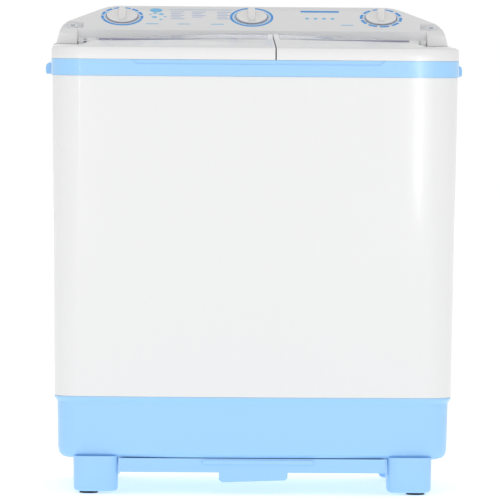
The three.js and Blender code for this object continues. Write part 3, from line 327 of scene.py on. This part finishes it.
# ---------------------------------------------------------------- fittings
def screw(name, centre, outward, radius=3.6 * MM):
    """A domed cross-recess screw head standing on a surface."""
    at = Matrix.Translation(centre) @ Vector(outward).to_track_quat("Z", "Y").to_matrix().to_4x4()
    bm = bmesh.new()
    dome = [(0, 0.02), (1, 0.02), (1, 0.22), (0.8, 0.42), (0.5, 0.52), (0.36, 0.53), (0.2, 0.2), (0, 0.16)]
    lathe(bm, [(r * radius, z * radius * 0.7) for r, z in dome], 32, at)
    for turn in (0, math.pi / 2):
        cross = at @ Matrix.Rotation(turn, 4, "Z")
        prism(bm, rounded(radius * 0.6, radius * 0.1, radius * 0.06, 2), 0.33 * radius, 0.385 * radius, cross)
    place(name, bm, LOOKS["steel"], "cabinet")


def rear_screws():
    low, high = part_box("rear_cover")
    edge = 8 * MM
    xs = [low.x + edge + (high.x - low.x - 2 * edge) * i / 3 for i in range(4)]
    spots = [(x, z) for x in xs for z in (low.z + edge, high.z - edge)]
    spots += [(x, (low.z + high.z) / 2) for x in (xs[0], xs[-1])]
    for i, (x, z) in enumerate(spots):
        screw(f"rear_screw_{i + 1}", Vector((x, high.y - 1.6 * MM, z)), (0, 1, 0))


def foot_pads():
    """Black feet with a grooved sole."""
    for end in ("front", "rear"):
        for side in ("left", "right"):
            node = f"foot_pad_{end}_{side}"
            low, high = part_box(node)
            radius, top = (high.x - low.x) / 2, high.z
            at = Matrix.Translation(((low.x + high.x) / 2, (low.y + high.y) / 2, 0))
            sole = [(0, 0.6 * MM), (radius * 0.4, 0.6 * MM), (radius * 0.42, 0), (radius * 0.6, 0),
                    (radius * 0.62, 0.6 * MM), (radius * 0.72, 0.6 * MM), (radius * 0.74, 0),
                    (radius * 0.93, 0), (radius * 0.98, 0.5 * MM), (radius, 1.4 * MM),
                    (radius, top - 0.6 * MM), (radius * 0.97, top), (0, top)]
            bm = bmesh.new()
            lathe(bm, sole, 64, at)
            place(f"{node}_finish", bm, LOOKS["rubber"], "cabinet", "rubber", (node,))


def window_painted_shade_lines():
    """A thin violet strip under the front edge of each clear window, painted shade at the window's recessed
    edge.
    """
    for lid in ("wash_lid", "spin_lid"):
        low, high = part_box(f"{lid}_window")
        y = low.y + 5 * MM
        top = NODES[f"{lid}_window"].data.vertices
        line = max(v.co.z for v in top if abs(v.co.y - y) < 2 * MM)
        bm = bmesh.new()
        outline = [(low.x + 8 * MM, y - 1.6 * MM), (high.x - 8 * MM, y - 1.6 * MM),
                   (high.x - 8 * MM, y - 0.4 * MM), (low.x + 8 * MM, y - 0.4 * MM)]
        # painted shade: a violet strip just under the window's top, seen through the clear window
        prism(bm, outline, line - 3 * MM, line - 0.4 * MM)
        place(f"{lid}_window_painted_shade", bm, PAINTED_SHADE_VIOLET, lid)


FRONT_BOW = 8 * MM  # how far the front's ends stand back from its middle
FRONT_FLAT = 300 * MM  # half the width that the bow spans


def front_strip(bm, half, depth, thick, low, high, steps=24):
    """Adds a strip to bm that follows the bowed front, depth behind it."""
    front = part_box("top_frame")[0].y
    xs = [half * (2 * i / steps - 1) for i in range(steps + 1)]
    line = [(x, front + depth + FRONT_BOW * (x / FRONT_FLAT) ** 2) for x in xs]
    prism(bm, line + [(x, y + thick) for x, y in reversed(line)], low, high)


def grip_recess():
    """The shallow finger recess along the front band's top edge, under the lids."""
    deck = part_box("panel_base")[0].z - 0.3 * MM
    bm = bmesh.new()
    front_strip(bm, 219.5 * MM, 1.6 * MM, 6 * MM, deck - 9 * MM, deck - 0.1 * MM)
    place("grip_recess", bm, LOOKS["blue"], "cabinet", "blue")


def cover_lip():
    """The top edge of the bottom cover's front strip, close under the base."""
    low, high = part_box("bottom_cover")
    strip_front, floor = low.y + 3 * MM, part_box("leg_front_left")[1].z
    half, strip_back = high.x, strip_front + 2.4 * MM
    bm = bmesh.new()
    outline = [(-half, strip_front), (half, strip_front), (half, strip_back), (-half, strip_back)]
    prism(bm, outline, floor - 1.6 * MM, floor + 1.3 * MM)
    place("cover_lip", bm, LOOKS["blue"], "bottom_cover", "blue")


def cover_fillers():
    """The narrow webs that close the gap between each front leg and the cover's strip."""
    low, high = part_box("bottom_cover")
    y = low.y + 4 * MM
    clearance, bite = 0.2 * MM, 0.6 * MM
    for side, sign in (("left", -1), ("right", 1)):
        leg_low, leg_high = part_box(f"leg_front_{side}")
        inner = leg_high.x if sign < 0 else leg_low.x
        near, far = (low.x, inner) if sign < 0 else (high.x, inner)
        xs = sorted((near + sign * clearance, far + sign * bite))
        bm = bmesh.new()
        outline = [(xs[0], y), (xs[1], y), (xs[1], y + 4 * MM), (xs[0], y + 4 * MM)]
        prism(bm, outline, leg_high.z - 26 * MM, leg_high.z + 1 * MM)
        place(f"cover_filler_{side}", bm, LOOKS["blue"], "cabinet", "blue")


def leg_collars():
    """Where each leg grows out of the rounded lower edge of the base."""
    for end in ("front", "rear"):
        for side in ("left", "right"):
            low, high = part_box(f"leg_{end}_{side}")
            centre = ((low.x + high.x) / 2, (low.y + high.y) / 2)
            half_x, half_y = (high.x - low.x) / 2, (high.y - low.y) / 2
            bm = bmesh.new()
            prism(bm, rounded(half_x, half_y, 20 * MM, 10, centre), high.z - 0.6 * MM, high.z + 4.6 * MM)
            place(f"leg_{end}_{side}_collar", bm, LOOKS["blue"], "cabinet", "blue")


def hinge_caps():
    """White caps over the four hinge posts."""
    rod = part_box("wash_lid_hinge_rod")
    y, z = (rod[0].y + rod[1].y) / 2, (rod[0].z + rod[1].z) / 2
    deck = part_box("panel_base")[0].z
    inset = 5 * MM  # the rod's ends stand this far outside the posts' middles
    spin_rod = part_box("spin_lid_hinge_rod")
    ends = (rod[0].x + inset, rod[1].x - inset, spin_rod[0].x + inset, spin_rod[1].x - inset)
    radius, half = 5.5 * MM, 4.4 * MM
    outline = [(y - 3.2 * MM, deck), (y + 6.3 * MM, deck)]
    outline += [(y + radius * math.cos(t), z + radius * math.sin(t))
                for t in (math.pi * 0.7 * i / 12 for i in range(13))]
    outline.append((y - 3.2 * MM, z))
    sideways = Matrix(((0, 0, 1, 0), (1, 0, 0, 0), (0, 1, 0, 0), (0, 0, 0, 1)))
    for i, x in enumerate(ends):
        bm = bmesh.new()
        prism(bm, outline, x - half, x + half, sideways)
        place(f"hinge_cap_{i + 1}", bm, LOOKS["white"], "cabinet", "white")


# ---------------------------------------------------------------- tubs
WASH_AXIS = Vector(JOINTS["agitator_spin"]["pos_m"])
SPIN_AXIS = Vector(JOINTS["basket_spin"]["pos_m"])


def spin_basket():
    """The drum, with rows of small holes through its wall and a ribbed cone around the hub."""
    low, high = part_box("spin_basket")
    radius = (high.x - low.x) / 2 - 0.6 * MM
    columns, rows, sides = 42, 13, 8
    wall_low, wall_high = low.z + 16 * MM, high.z - 18 * MM
    cell = (wall_high - wall_low) / rows
    pitch = 2 * math.pi / columns
    hole = 2.6 * MM
    bm = bmesh.new()

    def wall_point(angle, z):
        x, y = SPIN_AXIS.x + radius * math.cos(angle), SPIN_AXIS.y + radius * math.sin(angle)
        return bm.verts.new((x, y, z))

    for column in range(columns):
        for row in range(rows):
            middle = pitch * (column + 0.5)
            centre = wall_low + cell * (row + 0.5)
            square, ring = [], []
            for k in range(sides):
                turn = 2 * math.pi * k / sides
                reach = max(abs(math.cos(turn)), abs(math.sin(turn)))
                square.append(wall_point(middle + pitch / 2 * math.cos(turn) / reach,
                                         centre + cell / 2 * math.sin(turn) / reach))
                ring.append(wall_point(middle + hole / radius * math.cos(turn),
                                       centre + hole * math.sin(turn)))
            for k in range(sides):
                m = (k + 1) % sides
                bm.faces.new([square[k], square[m], ring[m], ring[k]])
    bmesh.ops.remove_doubles(bm, verts=bm.verts, dist=0.02 * MM)
    drum = place("basket_wall", bm, LOOKS["tub_white"], "basket", "tub_white", ("spin_basket",))
    thickness = drum.modifiers.new("thickness", "SOLIDIFY")
    thickness.thickness = 1.8 * MM
    thickness.offset = -1
    floor = bmesh.new()
    at = Matrix.Translation((SPIN_AXIS.x, SPIN_AXIS.y, low.z))
    profile = [(10.3, 0), (30, 0), (104, 4), (112, 10), (113.4, 17), (111.6, 17), (110, 12), (102, 7.5),
               (32, 3), (26, 6), (21, 21), (19, 22.6), (10.3, 22.6)]
    lathe(floor, [(r * MM, z * MM) for r, z in profile], 96, at)
    for i in range(12):
        spoke = at @ Matrix.Rotation(math.pi / 6 * i, 4, "Z")
        prism(floor, rounded(30 * MM, 1.2 * MM, 1 * MM, 2, (66 * MM, 0)), 4 * MM, 9.2 * MM, spoke)
    place("basket_floor", floor, LOOKS["tub_white"], "basket", "tub_white")
    rim = bmesh.new()
    height = high.z - low.z
    lip = [(111.6, -19), (113.4, -19), (113.9, -10), (113.4, -0.4), (111.6, -0.4)]
    lathe(rim, [(r * MM, height + z * MM) for r, z in lip], 96, at)
    place("basket_rim", rim, LOOKS["tub_white"], "basket", "tub_white")


def balance_ring():
    low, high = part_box("balance_ring")
    at = Matrix.Translation((SPIN_AXIS.x, SPIN_AXIS.y, 0))
    z0, z1 = low.z / MM, high.z / MM
    profile = [(88.4, z0 + 4), (110, z0 + 0.3), (117.6, z0 + 0.3), (118.6, z0 + 2), (118.6, z1 - 7),
               (117, z1 - 3.5), (113, z1 - 0.8), (108, z1), (97, z1), (92, z1 - 1.4),
               (89, z1 - 4.6), (88.4, z1 - 8)]
    bm = bmesh.new()
    lathe(bm, [(r * MM, z * MM) for r, z in profile], 120, at)
    place("balance_ring_finish", bm, LOOKS["tub_white"], "basket", "tub_white", ("balance_ring",), 40)


def pulsator():
    """A blue pulsator: a dished plate with four curved vanes and a raised cap."""
    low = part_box("pulsator")[0]
    at = Matrix.Translation((WASH_AXIS.x, WASH_AXIS.y, low.z))
    profile = [(9.5, 2), (60, 0.2), (100, 2), (107, 5.5), (109.6, 9), (108.6, 11), (106, 10.4), (97, 6),
               (58, 5), (42, 7.5), (34, 12), (29, 19), (26, 24), (22, 26), (9.5, 26.4)]
    bm = bmesh.new()
    lathe(bm, [(r * MM, z * MM) for r, z in profile], 120, at)
    for i in range(4):
        turned = at @ Matrix.Rotation(math.radians(20 + 90 * i), 4, "Z")
        rings = []
        for z, width, reach in [(2, 8.6, 39), (12, 6.6, 37), (20, 4.6, 34.5), (24.6, 3, 32.5), (26, 1.4, 31)]:
            ring = []
            for x, y in rounded(reach * MM, width * MM, width * MM * 0.95, 8, (67 * MM, 0)):
                ring.append((x, y + 3 * MM * math.sin(x / (32 * MM)), z * MM))
            rings.append(ring)
        loft(bm, rings, turned)
    place("pulsator_finish", bm, LOOKS["blue"], "agitator", "blue", ("pulsator",), 45)


def filter_net():
    """The lint filter's net, in its frame."""
    low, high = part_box("lint_filter")
    bm = bmesh.new()
    thread, pitch, y = 0.5 * MM, 3.4 * MM, low.y + 4.5 * MM
    inset = 5 * MM
    for i in range(int((high.x - low.x - 2 * inset) / pitch)):
        x = low.x + inset + pitch * (i + 0.5)
        upright = [(x, y), (x + thread, y), (x + thread, y + thread), (x, y + thread)]
        prism(bm, upright, low.z + inset, high.z - 2 * MM)
    for i in range(int((high.z - low.z - 2 * inset) / pitch)):
        z = low.z + inset + pitch * (i + 0.5)
        x0, x1 = low.x + inset, high.x - inset
        prism(bm, [(x0, y), (x1, y), (x1, y + thread), (x0, y + thread)], z, z + thread)
    place("lint_filter_net", bm, LOOKS["tub_white"], "lint_filter", "tub_white")


def mouth_lips():
    """A raised drip edge around the spin tub's mouth on the deck."""
    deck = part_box("panel_base")[0].z - 0.3 * MM
    bm = bmesh.new()
    at = Matrix.Translation((SPIN_AXIS.x, SPIN_AXIS.y, deck))
    lathe(bm, [(r * MM, z * MM) for r, z in [(128.2, 0), (128.2, 0.4), (131, 0.6), (132, 0)]], 96, at)
    place("spin_mouth_lip", bm, LOOKS["blue"], "cabinet", "blue")


def motor_windings():
    """Two copper-coloured bands around each motor, for the windings."""
    for node, label in (("wash_motor_stator", "wash"), ("spin_motor_stator", "spin")):
        low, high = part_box(node)
        joint = JOINTS["wash_motor_spin" if label == "wash" else "basket_spin"]["pos_m"]
        at = Matrix.Translation((joint[0], joint[1], 0))
        outer = 56 * MM if label == "wash" else 60 * MM
        middle = (high.z + low.z) / 2
        bm = bmesh.new()
        for z in (middle - 12 * MM, middle + 12 * MM):
            inside, outside = outer - 1 * MM, outer + 0.4 * MM
            ring = [(inside, z - 5 * MM), (outside, z - 5 * MM), (outside, z + 5 * MM), (inside, z + 5 * MM)]
            lathe(bm, ring, 64, at)
        place(f"{label}_motor_band", bm, COPPER, "cabinet")


# ---------------------------------------------------------------- stage
FLOOR_HALF = 14.0
SKY = 1.02
SKY_OVERHEAD = 0.66
SKY_SIDES = 0.72
OVERHEAD_FROM, OVERHEAD_TO = 0.4, 0.9  # upward part of the direction over which the sky dims
SIDES_FROM, SIDES_TO = 0.3, 0.95  # sideways part of the direction over which it dims
# name, place, width and height, watts
LAMPS = [("left", (-1.72, -8.2, 1.0), (0.05, 3.0), 22), ("right", (1.72, -8.2, 1.0), (0.05, 3.0), 22),
         ("front", (0, -7.0, 2.2), (3.0, 1.6), 8), ("top", (0, -0.6, 3.2), (2.4, 2.0), 1)]
LAMP_TARGET = Vector((0, 0, 0.45))
EYE = Vector((-0.23, -10.21, 0.86))
AIM = Vector((-0.0080, -0.21, 0.4215))
LENS = 421.8
SENSOR = 36
CLIP_END = 100
ROLL = math.radians(0.45)


def set_range(node, *limits):
    """Sets a map range node's from and to limits."""
    for socket, value in zip(("From Min", "From Max", "To Min", "To Max"), limits):
        node.inputs[socket].default_value = value


def studio():
    """A plain pale floor, open on every side, with lamps and a soft sky that dims overhead and sideways."""
    bm = bmesh.new()
    plan = [(-FLOOR_HALF, -FLOOR_HALF), (FLOOR_HALF, -FLOOR_HALF), (FLOOR_HALF, FLOOR_HALF),
            (-FLOOR_HALF, FLOOR_HALF)]
    bm.faces.new([bm.verts.new((x, y, 0)) for x, y in plan])
    mesh = bpy.data.meshes.new("floor")
    bm.to_mesh(mesh)
    bm.free()
    mesh.materials.append(FLOOR_WHITE)
    floor = bpy.data.objects.new("floor", mesh)
    bpy.context.scene.collection.objects.link(floor)
    world = bpy.data.worlds.new("sky")
    world.use_nodes = True
    nodes, links = world.node_tree.nodes, world.node_tree.links
    nodes["Background"].inputs["Color"].default_value = (1, 1, 1, 1)
    direction = nodes.new("ShaderNodeTexCoord")
    split = nodes.new("ShaderNodeSeparateXYZ")
    links.new(direction.outputs["Generated"], split.inputs["Vector"])
    overhead = nodes.new("ShaderNodeMapRange")
    set_range(overhead, OVERHEAD_FROM, OVERHEAD_TO, SKY, SKY_OVERHEAD)
    links.new(split.outputs["Z"], overhead.inputs["Value"])
    sideways = nodes.new("ShaderNodeMath")
    sideways.operation = "ABSOLUTE"
    links.new(split.outputs["X"], sideways.inputs[0])
    sides = nodes.new("ShaderNodeMapRange")
    set_range(sides, SIDES_FROM, SIDES_TO, 1.0, SKY_SIDES)
    links.new(sideways.outputs["Value"], sides.inputs["Value"])
    level = nodes.new("ShaderNodeMath")
    level.operation = "MULTIPLY"
    links.new(overhead.outputs["Result"], level.inputs[0])
    links.new(sides.outputs["Result"], level.inputs[1])
    links.new(level.outputs["Value"], nodes["Background"].inputs["Strength"])
    bpy.context.scene.world = world
    for name, spot, (width, height), power in LAMPS:
        data = bpy.data.lights.new(name, "AREA")
        data.shape = "RECTANGLE"
        data.size, data.size_y, data.energy = width, height, power
        lamp = bpy.data.objects.new(name, data)
        bpy.context.scene.collection.objects.link(lamp)
        lamp.location = spot
        lamp.rotation_euler = (LAMP_TARGET - Vector(spot)).to_track_quat("-Z", "Y").to_euler()


def camera():
    data = bpy.data.cameras.new("camera")
    data.lens = LENS
    data.sensor_width = SENSOR
    data.clip_end = CLIP_END
    eye = bpy.data.objects.new("camera", data)
    bpy.context.scene.collection.objects.link(eye)
    looking = (AIM - EYE).to_track_quat("-Z", "Y").to_matrix().to_4x4()
    eye.matrix_world = Matrix.Translation(EYE) @ looking @ Matrix.Rotation(ROLL, 4, "Z")
    bpy.context.scene.camera = eye


camera()
studio()
bpy.context.scene.view_settings.view_transform = "Standard"

REBUILT = {"spin_basket", "balance_ring", "pulsator", "wash_timer_knob", "selector_knob", "spin_timer_knob"}
REBUILT |= {node for node in NODES if node.startswith("foot_pad")}
BEVELS = {"casing": 0.8, "base": 0.8, "top_frame": 0.5, "wash_lid": 0.9, "spin_lid": 0.9, "panel_fascia": 1.2,
          "panel_base": 0.6, "bottom_cover": 0.5, "rear_cover": 0.4, "wash_tub": 0.6, "spin_tub": 0.6,
          "spin_inner_lid": 0.5, "lint_filter": 0.4}
for node in NODES:
    if node not in REBUILT:
        refined(node, BEVELS.get(node, 0.0) * MM)
for dial in KNOBS:
    knob(dial)
panel_printing()
rear_screws()
foot_pads()
window_painted_shade_lines()
grip_recess()
cover_lip()
cover_fillers()
leg_collars()
hinge_caps()
spin_basket()
balance_ring()
pulsator()
filter_net()
mouth_lips()
motor_windings()
